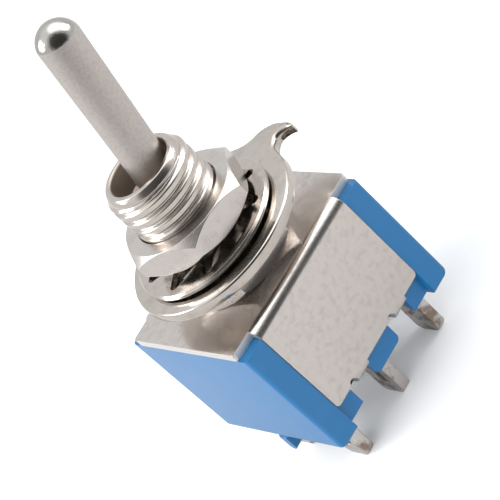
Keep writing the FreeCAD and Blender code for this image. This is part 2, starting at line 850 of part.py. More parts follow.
def build_all():
    """Every piece of the switch by its name."""
    pieces = {
        "bracket": make_bracket(),
        "case": make_case(),
        "bushing": make_bushing(),
        "lower_nut": make_nut(0.0, lower_nut_angle),
        "upper_nut": make_nut(upper_nut_height, upper_nut_angle),
        "locating_washer": make_locating_washer(),
        "tooth_lock_washer": make_spring_washer(),
        "lever": make_lever(),
        "lever_pin": make_pin(),
        "carriage": make_carriage(),
    }
    for pole, side in (("front", -1), ("rear", 1)):
        pieces["plunger_" + pole] = make_plunger(side)
        pieces["plunger_spring_" + pole] = make_spring(side)
        pieces["rocker_contact_" + pole] = make_rocker(side)
        pieces["common_terminal_" + pole] = make_common_terminal(side)
        pieces["left_terminal_" + pole] = make_end_terminal(-1, side)
        pieces["right_terminal_" + pole] = make_end_terminal(1, side)
        pieces["terminal_seal_" + pole] = make_seal(side)
    return pieces


def main():
    """Build the pieces and write one file for each."""
    os.makedirs("parts", exist_ok=True)
    for name, shape in build_all().items():
        if not shape.isValid() or shape.Volume <= 0:
            raise ValueError(name + " is not a sound solid")
        solid = shape.Solids[0] if len(shape.Solids) == 1 else shape
        solid.translate(FreeCAD.Vector(0, 0, -pivot_height))
        solid.exportStep(os.path.join("parts", name + ".step"))
        print(name, len(shape.Solids), round(shape.Volume, 3))


main()
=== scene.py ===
"""The looks of a miniature toggle switch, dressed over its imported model.

Each sub-assembly is a class that holds its sizes in millimetres, builds the pieces that need a finer
shape than the solids have, and gives a finish to the nodes that stay. Lengths become metres in the
mesh code. The origin is the lever's pivot, and +Z runs up the bushing.
"""
import logging
import math
from collections.abc import Callable
from dataclasses import dataclass
from enum import Enum

import bmesh
import bpy
from mathutils import Matrix, Vector


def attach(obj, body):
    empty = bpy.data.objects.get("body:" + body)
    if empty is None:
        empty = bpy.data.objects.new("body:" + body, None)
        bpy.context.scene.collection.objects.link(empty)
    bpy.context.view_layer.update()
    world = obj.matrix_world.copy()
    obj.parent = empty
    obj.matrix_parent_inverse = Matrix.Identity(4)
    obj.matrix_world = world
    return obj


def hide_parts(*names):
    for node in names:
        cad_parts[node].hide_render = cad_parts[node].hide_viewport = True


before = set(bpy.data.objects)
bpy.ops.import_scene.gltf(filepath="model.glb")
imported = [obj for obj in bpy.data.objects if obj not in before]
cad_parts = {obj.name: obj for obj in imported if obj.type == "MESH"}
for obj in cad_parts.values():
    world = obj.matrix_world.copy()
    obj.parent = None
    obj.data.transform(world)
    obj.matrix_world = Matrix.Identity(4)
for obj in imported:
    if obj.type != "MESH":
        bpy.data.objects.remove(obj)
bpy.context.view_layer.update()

POLES = ("front", "rear")
LUG_ROWS = ("left", "common", "right")
LEVER_LEAN = 11.2
LEVER_REACH = 12.5
LEVER_DOME = 1.2

# For the mesh tools, with lengths in millimetres and angles in degrees.
MM = 0.001
SLACK = 0.001
WELD = 0.0005
FLAT_ANGLE = 0.5
SHARP_ANGLE = 30.0
EDGE_STEPS = 2

# In metres.
SAME_PLACE = 1e-7
ON_PLANE = 1e-8

# For the shared effects.
EDGE_SAMPLES = 4
CLOUD_DETAIL = 5.0
CLOUD_ROUGHNESS = 0.62
SCRATCH_DETAIL = 3.0
SQUARE_ON = 0.9
WHITE = (1, 1, 1, 1)
COLOUR = "NodeSocketColor"
NUMBER = "NodeSocketFloat"
VECTOR = "NodeSocketVector"

logging.basicConfig(level=logging.INFO, format="%(message)s")
log = logging.getLogger("switch")

Outline = list[tuple[float, float]]
Triple = tuple[float, float, float]
Steps = tuple[tuple[float, float], ...]
Mesh = bmesh.types.BMesh
Tree = bpy.types.NodeTree
Socket = bpy.types.NodeSocket


class Body(Enum):
    """The moving bodies that the pieces ride on."""

    HOUSING = "housing"
    LEVER = "lever"


class Slot(Enum):
    """The record's material slots."""

    SHEET = "plated_sheet"
    MOULDING = "blue_moulding"
    BUSHING = "plated_bushing"
    NUT = "plated_nut"
    WASHER = "plated_washer"
    LEVER = "plated_lever"
    TERMINAL = "tinned_terminal"
    CONTACT = "contact_alloy"
    SPRING = "spring_steel"
    INNER = "inner_moulding"
    SEAL = "seal_resin"


class Pattern(Enum):
    """The shared effects that the finishes are mixed from."""

    STAIN = "stain"
    BRUSHED = "brushed"
    SHEARED = "sheared"
    ZONE = "zone"


def add_node(tree: Tree, kind: str, inputs: dict | None = None,
             **options: object) -> bpy.types.Node:
    """Add a shader node to a tree.

    Args:
        tree: The tree.
        kind: The node's type, without Blender's prefix.
        inputs: A socket to link or a value to set, by the input's name or number.
        options: The node's own settings, which are set before its inputs.

    Returns:
        The node.
    """
    node = tree.nodes.new("ShaderNode" + kind)
    for option, value in options.items():
        setattr(node, option, value)
    for key, value in (inputs or {}).items():
        if isinstance(value, Socket):
            tree.links.new(value, node.inputs[key])
        else:
            node.inputs[key].default_value = value
    return node


def reckon(tree: Tree, operation: str, *values: Socket | float) -> Socket:
    """Add a step of arithmetic to a tree, and give the socket with its result."""
    return add_node(tree, "Math", dict(enumerate(values)), operation=operation).outputs[0]


def blend(tree: Tree, factor: Socket | float, first: Socket | tuple, second: Socket | tuple,
          way: str = "MIX") -> Socket:
    """Add a blend of two colours to a tree, and give the socket with its result."""
    return add_node(tree, "Mix", {"Factor": factor, "A": first, "B": second},
                    data_type="RGBA", blend_type=way).outputs["Result"]


def put(name: str, data: bpy.types.ID) -> bpy.types.Object:
    """Put an object in the scene."""
    made = bpy.data.objects.new(name, data)
    bpy.context.scene.collection.objects.link(made)
    return made


def spin(radius: float, angle: float, height: float) -> Vector:
    """Give a point in metres from millimetres round the axis, with its angle in radians."""
    return Vector((radius * math.cos(angle), radius * math.sin(angle), height)) * MM


class EffectShop:
    """Builds each shared shader group once, and hands it to the materials that use it."""

    def __init__(self) -> None:
        """Start with no group built."""
        self.groups: dict[Pattern, Tree] = {}
        self.makers: dict[Pattern, Callable[[], Tree]] = {
            Pattern.STAIN: self.make_stain, Pattern.BRUSHED: self.make_brushed,
            Pattern.SHEARED: self.make_sheared, Pattern.ZONE: self.make_zone}

    def use(self, tree: Tree, pattern: Pattern, inputs: dict) -> bpy.types.Node:
        """Put a shared group in a material. It is built at its first use.

        Args:
            tree: The material's tree.
            pattern: The effect wanted.
            inputs: The group's values, by name.

        Returns:
            The group's node.
        """
        if pattern not in self.groups:
            self.groups[pattern] = self.makers[pattern]()
        return add_node(tree, "Group", inputs, node_tree=self.groups[pattern])

    @staticmethod
    def open_group(name: str, inputs: dict[str, str],
                   outputs: dict[str, str]) -> tuple[Tree, bpy.types.Node, bpy.types.Node]:
        """Make an empty group with its sockets.

        Args:
            name: The group's name.
            inputs: Socket type by name.
            outputs: Socket type by name.

        Returns:
            The group, its input node and its output node.
        """
        tree = bpy.data.node_groups.new(name, "ShaderNodeTree")
        for way, sockets in (("INPUT", inputs), ("OUTPUT", outputs)):
            for key, kind in sockets.items():
                tree.interface.new_socket(name=key, in_out=way, socket_type=kind)
        return tree, tree.nodes.new("NodeGroupInput"), tree.nodes.new("NodeGroupOutput")

    def make_stain(self) -> Tree:
        """Blend a second colour in as soft clouds with finer mottling inside them.

        Returns:
            A group with the blended colour and the stain's mask.
        """
        tree, source, result = self.open_group(
            "soft_stain",
            {"Clean": COLOUR, "Stained": COLOUR, "Scale": NUMBER, "Low": NUMBER, "High": NUMBER,
             "Strength": NUMBER},
            {"Color": COLOUR, "Mask": NUMBER})
        place = add_node(tree, "TexCoord")
        cloud = add_node(tree, "TexNoise", {
            "Vector": place.outputs["Object"], "Scale": source.outputs["Scale"],
            "Detail": CLOUD_DETAIL, "Roughness": CLOUD_ROUGHNESS})
        ramp = add_node(tree, "MapRange", {
            "Value": cloud.outputs["Fac"], "From Min": source.outputs["Low"],
            "From Max": source.outputs["High"]}, interpolation_type="SMOOTHSTEP")
        weight = reckon(tree, "MULTIPLY", ramp.outputs["Result"], source.outputs["Strength"])
        mix = blend(tree, weight, source.outputs["Clean"], source.outputs["Stained"])
        tree.links.new(mix, result.inputs["Color"])
        tree.links.new(weight, result.inputs["Mask"])
        return tree

    def make_brushed(self) -> Tree:
        """Make fine scratches, long along one axis and short across it.

        Returns:
            A group with the scratches' height.
        """
        tree, source, result = self.open_group(
            "fine_scratches", {"Stretch": VECTOR, "Scale": NUMBER}, {"Height": NUMBER})
        place = add_node(tree, "TexCoord")
        stretch = add_node(tree, "VectorMath", {
            0: place.outputs["Object"], 1: source.outputs["Stretch"]}, operation="MULTIPLY")
        grain = add_node(tree, "TexNoise", {
            "Vector": stretch.outputs["Vector"], "Scale": source.outputs["Scale"],
            "Detail": SCRATCH_DETAIL})
        tree.links.new(grain.outputs["Fac"], result.inputs["Height"])
        return tree

    def make_sheared(self) -> Tree:
        """Pick out a sheet's cut edges: the faces turned along X, and those along Y beyond a distance.

        Returns:
            A group with the edges' mask. The distance is counted along X.
        """
        tree, source, result = self.open_group("sheared_edge", {"Distance": NUMBER}, {"Mask": NUMBER})
        surface = add_node(tree, "NewGeometry")
        turned = add_node(tree, "SeparateXYZ", {0: surface.outputs["True Normal"]})
        placed = add_node(tree, "SeparateXYZ", {0: surface.outputs["Position"]})
        along_x, along_y = (
            reckon(tree, "GREATER_THAN", reckon(tree, "ABSOLUTE", turned.outputs[axis]), SQUARE_ON)
            for axis in "XY")
        reach = reckon(tree, "ABSOLUTE", placed.outputs["X"])
        beyond = reckon(tree, "GREATER_THAN", reach, source.outputs["Distance"])
        mask = reckon(tree, "MAXIMUM", along_x, reckon(tree, "MULTIPLY", along_y, beyond))
        tree.links.new(mask, result.inputs["Mask"])
        return tree

    def make_zone(self) -> Tree:
        """Pick out the part of a piece that has its own colour and gloss, by its distance from a place: a
        real finish on the lever's dome, and painted shade in the bushing's bore.

        Returns:
            A group with the zone's mask. An axis whose weight is 0 is left out of the distance.
        """
        tree, source, result = self.open_group(
            "finish_and_painted_shade_zone", {"Centre": VECTOR, "Weights": VECTOR, "Reach": NUMBER}, {"Mask": NUMBER})
        place = add_node(tree, "TexCoord")
        away = add_node(tree, "VectorMath", {
            0: place.outputs["Object"], 1: source.outputs["Centre"]}, operation="SUBTRACT")
        weighed = add_node(tree, "VectorMath", {
            0: away.outputs["Vector"], 1: source.outputs["Weights"]}, operation="MULTIPLY")
        length = add_node(tree, "VectorMath", {0: weighed.outputs["Vector"]}, operation="LENGTH")
        inside = reckon(tree, "LESS_THAN", length.outputs["Value"], source.outputs["Reach"])
        tree.links.new(inside, result.inputs["Mask"])
        return tree


@dataclass(frozen=True)
class Zone:
    """A part of a piece with its own colour and gloss: a real finish on the lever's dome, and painted
    shade in the bushing's bore. Lengths are in millimetres.
    """

    centre: Triple
    weights: Triple
    reach: float
    colour: Triple
    roughness: float

    def mask(self, tree: Tree, effects: EffectShop) -> Socket:
        """Pick the zone out in a material's tree, and give the socket with its mask."""
        values = {"Centre": Vector(self.centre) * MM, "Weights": self.weights, "Reach": self.reach * MM}
        return effects.use(tree, Pattern.ZONE, values).outputs["Mask"]


@dataclass(frozen=True)
class Sheared:
    """The matt cut edges of a sheet. The distance is where its wings begin, in millimetres."""

    distance: float
    colour: Triple
    roughness: float

    def mask(self, tree: Tree, effects: EffectShop) -> Socket:
        """Pick the cut edges out in a material's tree, and give the socket with their mask."""
        return effects.use(tree, Pattern.SHEARED, {"Distance": self.distance * MM}).outputs["Mask"]


@dataclass(frozen=True)
class Finish:
    """One finish: a clean colour that stains, gloss that varies with the stain, and fine relief."""

    slot: Slot
    clean: Triple
    stained: Triple
    stain_scale: float = 600.0
    stain_range: tuple[float, float] = (0.45, 0.75)
    stain_strength: float = 0.5
    metallic: float = 1.0
    roughness: float = 0.3
    stained_roughness: float = 0.4
    coat: float = 0.0
    coat_roughness: float = 0.3
    grain_stretch: Triple = (1.0, 1.0, 1.0)
    grain_scale: float = 5000.0
    grain_depth: float = 0.05
    grain_height: float = 0.02
    edge_round: float = 0.06
    parts: tuple[Zone | Sheared, ...] = ()

    def material(self, effects: EffectShop) -> bpy.types.Material:
        """Build the material.

        Args:
            effects: The shop that holds the shared groups.

        Returns:
            The finished material, named after its slot.
        """
        made = bpy.data.materials.new(self.slot.value)
        made.use_nodes = True
        tree = made.node_tree
        shader = tree.nodes["Principled BSDF"]
        shader.inputs["Metallic"].default_value = self.metallic
        shader.inputs["Coat Weight"].default_value = self.coat
        shader.inputs["Coat Roughness"].default_value = self.coat_roughness
        stain = effects.use(tree, Pattern.STAIN, {
            "Clean": (*self.clean, 1), "Stained": (*self.stained, 1), "Scale": self.stain_scale,
            "Low": self.stain_range[0], "High": self.stain_range[1], "Strength": self.stain_strength})
        gloss = add_node(tree, "MapRange", {
            "Value": stain.outputs["Mask"], "To Min": self.roughness, "To Max": self.stained_roughness})
        colour, roughness = stain.outputs["Color"], gloss.outputs["Result"]
        for part in self.parts:
            mask = part.mask(tree, effects)
            colour = blend(tree, mask, colour, (*part.colour, 1))
            roughness = add_node(tree, "MapRange", {
                "Value": mask, "To Min": roughness, "To Max": part.roughness}).outputs["Result"]
        tree.links.new(colour, shader.inputs["Base Color"])
        tree.links.new(roughness, shader.inputs["Roughness"])
        tree.links.new(self.relief(tree, effects), shader.inputs["Normal"])
        return made

    def relief(self, tree: Tree, effects: EffectShop) -> Socket:
        """Lay fine grain over softened edges.

        Args:
            tree: The material's tree.
            effects: The shop that holds the shared groups.

        Returns:
            The socket with the surface normal.
        """
        scratches = {"Stretch": self.grain_stretch, "Scale": self.grain_scale}
        grain = effects.use(tree, Pattern.BRUSHED, scratches)
        bump = add_node(tree, "Bump", {
            "Strength": self.grain_depth, "Distance": self.grain_height * MM,
            "Height": grain.outputs["Height"]})
        if self.edge_round > 0:
            soft_edge = add_node(tree, "Bevel", {"Radius": self.edge_round * MM}, samples=EDGE_SAMPLES)
            tree.links.new(soft_edge.outputs["Normal"], bump.inputs["Normal"])
        return bump.outputs["Normal"]


LEVER_WAY = Vector((math.sin(math.radians(LEVER_LEAN)), 0.0, math.cos(math.radians(LEVER_LEAN))))
LEVER_TIP = LEVER_WAY * (LEVER_REACH + LEVER_DOME)
DOME_ZONE = Zone(tuple(LEVER_TIP), (1.0, 1.0, 1.0), 1.87, (0.50, 0.49, 0.465), 0.09)
# Painted shade: the bore round the lever is coloured darker and browner than the plating, a painted shadow
# with a warm painted reflection in the recess.
BORE_PAINTED_SHADE = Zone((0.0, 0.0, 0.0), (1.0, 1.0, 0.0), 2.25, (0.58, 0.50, 0.43), 0.5)
SHEET_EDGES = Sheared(4.94, (0.82, 0.80, 0.78), 0.55)

FINISHES: list[Finish] = [
    Finish(Slot.SHEET, (0.68, 0.645, 0.62), (0.52, 0.46, 0.41), stain_scale=2200, stain_range=(0.42, 0.7),
           stain_strength=0.45, roughness=0.19, stained_roughness=0.32, grain_scale=6500,
           grain_depth=0.28, parts=(SHEET_EDGES,)),
    Finish(Slot.MOULDING, (0.005, 0.142, 0.358), (0.009, 0.16, 0.39), stain_scale=500, metallic=0.0,
           coat=0.35, grain_scale=7000, grain_depth=0.15, edge_round=0.0),
    # The bushing's zone paints shade into its bore.
    Finish(Slot.BUSHING, (0.64, 0.60, 0.56), (0.44, 0.38, 0.32), stain_scale=900, stain_strength=0.45,
           roughness=0.18, stained_roughness=0.32, grain_stretch=(0.15, 0.15, 2.5), grain_scale=4500,
           grain_depth=0.5, edge_round=0.0, parts=(BORE_PAINTED_SHADE,)),
    Finish(Slot.NUT, (0.66, 0.625, 0.60), (0.46, 0.405, 0.36), stain_scale=800, stain_strength=0.4,
           roughness=0.24, edge_round=0.0, grain_depth=0.15),
    Finish(Slot.WASHER, (0.62, 0.58, 0.54), (0.44, 0.38, 0.32), stain_scale=900, roughness=0.15,
           stained_roughness=0.28, grain_depth=0.2, edge_round=0.03),
    Finish(Slot.LEVER, (0.57, 0.535, 0.51), (0.43, 0.395, 0.37), stain_scale=5500,
           stain_range=(0.35, 0.7), roughness=0.36, stained_roughness=0.46,
           grain_scale=11000, grain_depth=0.6, edge_round=0.0, parts=(DOME_ZONE,)),
    Finish(Slot.TERMINAL, (0.78, 0.75, 0.725), (0.31, 0.215, 0.15), stain_scale=700,
           stain_range=(0.47, 0.6), stain_strength=0.85, roughness=0.28, stained_roughness=0.5,
           grain_depth=0.25, edge_round=0.14),
    Finish(Slot.CONTACT, (0.7, 0.6, 0.42), (0.5, 0.4, 0.25), roughness=0.25),
    Finish(Slot.SPRING, (0.5, 0.5, 0.5), (0.4, 0.38, 0.36), edge_round=0.0),
    Finish(Slot.INNER, (0.78, 0.76, 0.7), (0.7, 0.67, 0.6), metallic=0.0, roughness=0.5),
    Finish(Slot.SEAL, (0.03, 0.03, 0.035), (0.05, 0.05, 0.05), metallic=0.0, roughness=0.35,
           edge_round=0.0),
]


class Workshop:
    """The mesh tools and the materials that every sub-assembly shares."""

    def __init__(self, finishes: list[Finish]) -> None:
        """Build the materials.

        Args:
            finishes: Every finish of the switch.
        """
        effects = EffectShop()
        self.materials = {finish.slot: finish.material(effects) for finish in finishes}

    def dress(self, node: str, slot: Slot) -> None:
        """Give a solid that stays in view its finish.

        Args:
            node: The solid's name.
            slot: The finish.
        """
        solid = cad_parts[node]
        solid.data.materials.clear()
        solid.data.materials.append(self.materials[slot])

    def place(self, mesh: Mesh, name: str, slot: Slot, body: Body, node: str,
              smooth: float = 35.0) -> bpy.types.Object:
        """Turn mesh data into a piece that stands for a solid.

        Args:
            mesh: The mesh, in metres. It is freed here.
            name: The piece's name.
            slot: Its finish.
            body: The body that it rides on.
            node: The solid that it replaces.
            smooth: The angle in degrees above which an edge stays sharp.

        Returns:
            The piece, riding and finished.
        """
        bmesh.ops.recalc_face_normals(mesh, faces=mesh.faces)
        data = bpy.data.meshes.new(name)
        mesh.to_mesh(data)
        mesh.free()
        data.shade_smooth()
        data.set_sharp_from_angle(angle=math.radians(smooth))
        piece = put(name, data)
        data.materials.append(self.materials[slot])
        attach(piece, body.value)
        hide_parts(node)
        log.info("%s: %d faces, for %s", name, len(data.polygons), node)
        return piece

    def soften(self, node: str, name: str, slot: Slot, body: Body, width: float,
               shape: Callable[[Mesh], None] | None = None) -> None:
        """Make a piece from a solid's own shape, with its sharp edges rounded.

        Args:
            node: The solid's name.
            name: The piece's name.
            slot: Its finish.
            body: The body that it rides on.
            width: The rounding, in millimetres.
            shape: What to do to the mesh before its edges are rounded.
        """
        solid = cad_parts[node]
        mesh = bmesh.new()
        mesh.from_mesh(solid.data)
        mesh.transform(solid.matrix_world)
        bmesh.ops.remove_doubles(mesh, verts=mesh.verts, dist=WELD * MM)
        flat = math.radians(FLAT_ANGLE)
        bmesh.ops.dissolve_limit(mesh, angle_limit=flat, verts=mesh.verts, edges=mesh.edges)
        if shape:
            shape(mesh)
        piece = self.place(mesh, name, slot, body, node, SHARP_ANGLE)
        self.round_edges(piece, width, SHARP_ANGLE)

    @staticmethod
    def round_edges(piece: bpy.types.Object, width: float, least: float) -> None:
        """Round a piece's sharp edges.

        Args:
            piece: The piece.
            width: The rounding, in millimetres.
            least: The angle in degrees from which an edge is rounded.
        """
        rounding = piece.modifiers.new("soft_edges", "BEVEL")
        rounding.width = width * MM
        rounding.segments = EDGE_STEPS
        rounding.limit_method = "ANGLE"
        rounding.angle_limit = math.radians(least)
        rounding.harden_normals = True

    @staticmethod
    def carve(mesh: Mesh, boxes: list[tuple[Vector, Vector]]) -> None:
        """Cut boxes out of a mesh.

        Args:
            mesh: The mesh, in metres. It is changed in place.
            boxes: The middle and the size of each box, in millimetres.
        """
        data = [bpy.data.meshes.new(name) for name in ("blank", "cutter")]
        mesh.to_mesh(data[0])
        tools = bmesh.new()
        for middle, size in boxes:
            stretch = Matrix.Diagonal((*(size * MM), 1.0))
            bmesh.ops.create_cube(tools, size=1.0, matrix=Matrix.Translation(middle * MM) @ stretch)
        tools.to_mesh(data[1])
        tools.free()
        blank, cutter = [put(each.name, each) for each in data]
        cut = blank.modifiers.new("cut", "BOOLEAN")
        cut.operation = "DIFFERENCE"
        cut.solver = "EXACT"
        cut.object = cutter
        carved = blank.evaluated_get(bpy.context.evaluated_depsgraph_get())
        mesh.clear()
        mesh.from_mesh(carved.to_mesh())
        carved.to_mesh_clear()
        for each in (blank, cutter):
            bpy.data.objects.remove(each)
        for each in data:
            bpy.data.meshes.remove(each)

    @staticmethod
    def stitch(mesh: Mesh, rings: list[list[Vector]],
               closed: bool = False) -> list[list[bmesh.types.BMVert]]:
        """Lay faces between rings of points.

        Args:
            mesh: The mesh, in metres. It is changed in place.
            rings: Rings with the same number of points each, in metres.
            closed: Whether the last ring joins the first.

        Returns:
            The rings' vertices.
        """
        rows = [[mesh.verts.new(point) for point in ring] for ring in rings]
        for low, high in zip(rows, rows[1:] + rows[:1] if closed else rows[1:]):
            for index in range(len(low)):
                other = (index + 1) % len(low)
                mesh.faces.new((low[index], low[other], high[other], high[index]))
        return rows

    @staticmethod
    def skin(rings: list[list[Vector]], closed: bool) -> Mesh:
        """Join rings of points into a skin.

        Args:
            rings: Rings with the same number of points each, in metres.
            closed: Whether the last ring joins the first.

        Returns:
            The mesh. Open ends are capped.
        """
        mesh = bmesh.new()
        rows = Workshop.stitch(mesh, rings, closed)
        if not closed:
            mesh.faces.new(list(reversed(rows[0])))
            mesh.faces.new(rows[-1])
        bmesh.ops.remove_doubles(mesh, verts=mesh.verts, dist=SAME_PLACE)
        bmesh.ops.dissolve_degenerate(mesh, edges=mesh.edges, dist=SAME_PLACE)
        return mesh


@dataclass
class Lever:
    """The bat lever with its ball and stem, one turned piece."""

    lean: float = LEVER_LEAN
    neck_radius: float = 1.26
    tip_radius: float = 1.45
    reach: float = LEVER_REACH
    dome: float = LEVER_DOME
    dome_steps: int = 18
    foot_inset: float = 0.002
    foot_drop: float = 0.07
    ball_radius: float = 1.9
    ball_steps: int = 24
    stem_radius: float = 0.8
    stem_end: float = -9.11
    stem_chamfer: float = 0.1
    segments: int = 96
    smooth: float = 40.0

    def outline(self) -> Outline:
        """Give the lever's outline.

        Returns:
            Pairs of a radius and a height, from the stem's end to the top of the dome.
        """
        points: Outline = [(0.0, self.stem_end), (self.stem_radius - self.stem_chamfer, self.stem_end),
                           (self.stem_radius, self.stem_end + self.stem_chamfer)]
        start = -math.acos(self.stem_radius / self.ball_radius)
        end = math.acos(self.neck_radius / self.ball_radius)
        for step in range(self.ball_steps + 1):
            angle = start + (end - start) * step / self.ball_steps
            points.append((self.ball_radius * math.cos(angle), self.ball_radius * math.sin(angle)))
        sphere = (self.tip_radius ** 2 + self.dome ** 2) / (2 * self.dome)
        centre = self.reach + self.dome - sphere
        side = math.asin(min(1.0, self.tip_radius / sphere))
        points.append((self.tip_radius - self.foot_inset, self.reach - self.foot_drop))
        for step in range(1, self.dome_steps + 1):
            angle = side * (1 - step / self.dome_steps)
            points.append((sphere * math.sin(angle), centre + sphere * math.cos(angle)))
        return points

    def build(self, shop: Workshop) -> None:
        """Build the lever, leaned as it rests, and dress what hangs on it.

        Args:
            shop: The shared tools and materials.
        """
        turn = Matrix.Rotation(math.radians(self.lean), 4, "Y")
        angles = [2 * math.pi * index / self.segments for index in range(self.segments)]
        rings = [[turn @ spin(radius, angle, height) for angle in angles]
                 for radius, height in self.outline()]
        mesh = shop.skin(rings, closed=False)
        shop.place(mesh, "bat_lever", Slot.LEVER, Body.LEVER, "lever", self.smooth)
        shop.dress("lever_pin", Slot.SPRING)
        shop.dress("carriage", Slot.INNER)
        for pole in POLES:
            shop.dress("plunger_" + pole, Slot.INNER)
            shop.dress("plunger_spring_" + pole, Slot.SPRING)


@dataclass
class Bushing:
    """The bushing, with its real thread above the upper nut and a plain barrel inside the nuts.

    The gaps are depths below the upper nut's face: where the barrel ends, where the radius changes,
    and where the thread starts.
    """

    thread_radius: float = 3.0
    root_radius: float = 2.77
    engaged_radius: float = 2.76
    pitch: float = 0.75
    crest_share: float = 0.34
    root_share: float = 0.96
    barrel_low: float = -6.27
    upper_face: float = 0.0
    barrel_gap: float = 0.051
    change_gap: float = 0.05
    thread_gap: float = 0.049
    thread_top: float = 2.96
    thread_steps: int = 110
    lead_slope: float = 0.9
    top: float = 3.48
    rim_radius: float = 2.78
    groove_depth: float = 0.06
    groove_edge: float = 0.02
    rim_arcs: tuple[Triple, ...] = ((90.0, 68.0, 0.2), (68.0, 50.0, 1.3), (50.0, 0.0, 0.12))
    rim_steps: int = 8
    inner_round: float = 0.14
    inner_steps: int = 5
    bore_radius: float = 2.17
    bore_floor: float = 1.68
    throat_radius: float = 1.75
    throat_taper: float = 0.35
    throat_low: float = 0.893
    seat_low: float = 0.207
    flange_radius: float = 3.9
    flange_low: float = -6.62
    skirt_radius: float = 2.3
    skirt_low: float = -4.22
    lower_bore_radius: float = 2.0
    keyway_floor: float = 2.5
    keyway_half_angle: float = 11.0
    keyway_top: float = 1.88
    segments: int = 144

    def thread_at(self, angle: float, height: float) -> float:
        """Give the thread's radius at a place.

        Args:
            angle: The angle round the axis.
            height: The height.

        Returns:
            The radius, with worn crests and rounded roots.
        """
        phase = (height / self.pitch - angle / (2 * math.pi)) % 1.0
        away = abs(2 * phase - 1)
        share = min(1.0, max(0.0, (away - self.crest_share) / (self.root_share - self.crest_share)))
        fall = share * share * (3 - 2 * share)
        radius = self.thread_radius - (self.thread_radius - self.root_radius) * fall
        slope_limit = self.rim_radius + max(0.0, self.thread_top - height) * self.lead_slope
        return min(radius, slope_limit)

    def radius_at(self, angle: float, height: float) -> float:
        """Give the barrel's outer radius at a place.

        Args:
            angle: The angle round the axis.
            height: The height.

        Returns:
            The radius, with the thread and the keyway.
        """
        inside_nut = height < self.upper_face - self.change_gap
        radius = self.engaged_radius if inside_nut else self.thread_at(angle, height)
        turned = (angle + math.pi) % (2 * math.pi) - math.pi
        if abs(turned) < math.radians(self.keyway_half_angle) and height < self.keyway_top:
            radius = min(radius, self.keyway_floor / math.cos(turned))
        return radius

    def rim_outline(self) -> Outline:
        """Give the polished rim's outline, as arcs that meet smoothly.

        Returns:
            Pairs of a radius and a height, from the rim's foot to its flat.
        """
        points: Outline = [(self.rim_radius, 0.0)]
        for start, end, radius in self.rim_arcs:
            foot_r, foot_z = points[-1]
            first = math.radians(start)
            for step in range(1, self.rim_steps + 1):
                turned = math.radians(start + (end - start) * step / self.rim_steps)
                points.append((foot_r + radius * (math.sin(turned) - math.sin(first)),
                               foot_z + radius * (math.cos(turned) - math.cos(first))))
        lift = self.top - points[-1][1]
        return [(radius, height + lift) for radius, height in points]

    def ring(self, height: float, radius: float | None = None) -> list[Vector]:
        """Give one ring of points.

        Args:
            height: The ring's height.
            radius: Its radius. Without one, the ring lies on the barrel.

        Returns:
            The points, in metres.
        """
        angles = [2 * math.pi * (index + 0.5) / self.segments for index in range(self.segments)]
        return [spin(self.radius_at(angle, height) if radius is None else radius, angle, height)
                for angle in angles]

    def outside(self) -> list[list[Vector]]:
        """Give the rings up the outside.

        Returns:
            The rings, from the flange to the rim's flat.
        """
        levels = ((self.flange_low, self.skirt_radius), (self.flange_low, self.flange_radius),
                  (self.barrel_low, self.flange_radius), (self.barrel_low, None),
                  (self.upper_face - self.barrel_gap, None))
        rings = [self.ring(height, radius) for height, radius in levels]
        low = self.upper_face - self.thread_gap
        climb = self.thread_top - self.upper_face + self.thread_gap
        for step in range(self.thread_steps + 1):
            rings.append(self.ring(low + climb * step / self.thread_steps))
        rim = self.rim_outline()
        for height in (self.thread_top + self.groove_edge, rim[0][1] - self.groove_edge):
            rings.append(self.ring(height, self.rim_radius - self.groove_depth))
        return rings + [self.ring(height, radius) for radius, height in rim]

    def inside(self) -> list[list[Vector]]:
        """Give the rings down the inside.

        Returns:
            The rings, from the rim's rounded inner edge to the skirt.
        """
        rings = []
        for step in range(self.inner_steps + 1):
            angle = math.pi / 2 * step / self.inner_steps
            rings.append(self.ring(self.top - self.inner_round * (1 - math.cos(angle)),
                                   self.bore_radius + self.inner_round * (1 - math.sin(angle))))
        levels = ((self.bore_floor, self.bore_radius),
                  (self.bore_floor - self.throat_taper, self.throat_radius),
                  (self.throat_low, self.throat_radius), (self.seat_low, self.lower_bore_radius),
                  (self.skirt_low, self.lower_bore_radius))
        return rings + [self.ring(height, radius) for height, radius in levels]

    def build(self, shop: Workshop) -> None:
        """Build the bushing as one closed skin.

        Args:
            shop: The shared tools and materials.
        """
        mesh = shop.skin(self.outside() + self.inside(), closed=True)
        shop.place(mesh, "threaded_bushing", Slot.BUSHING, Body.HOUSING, "bushing")


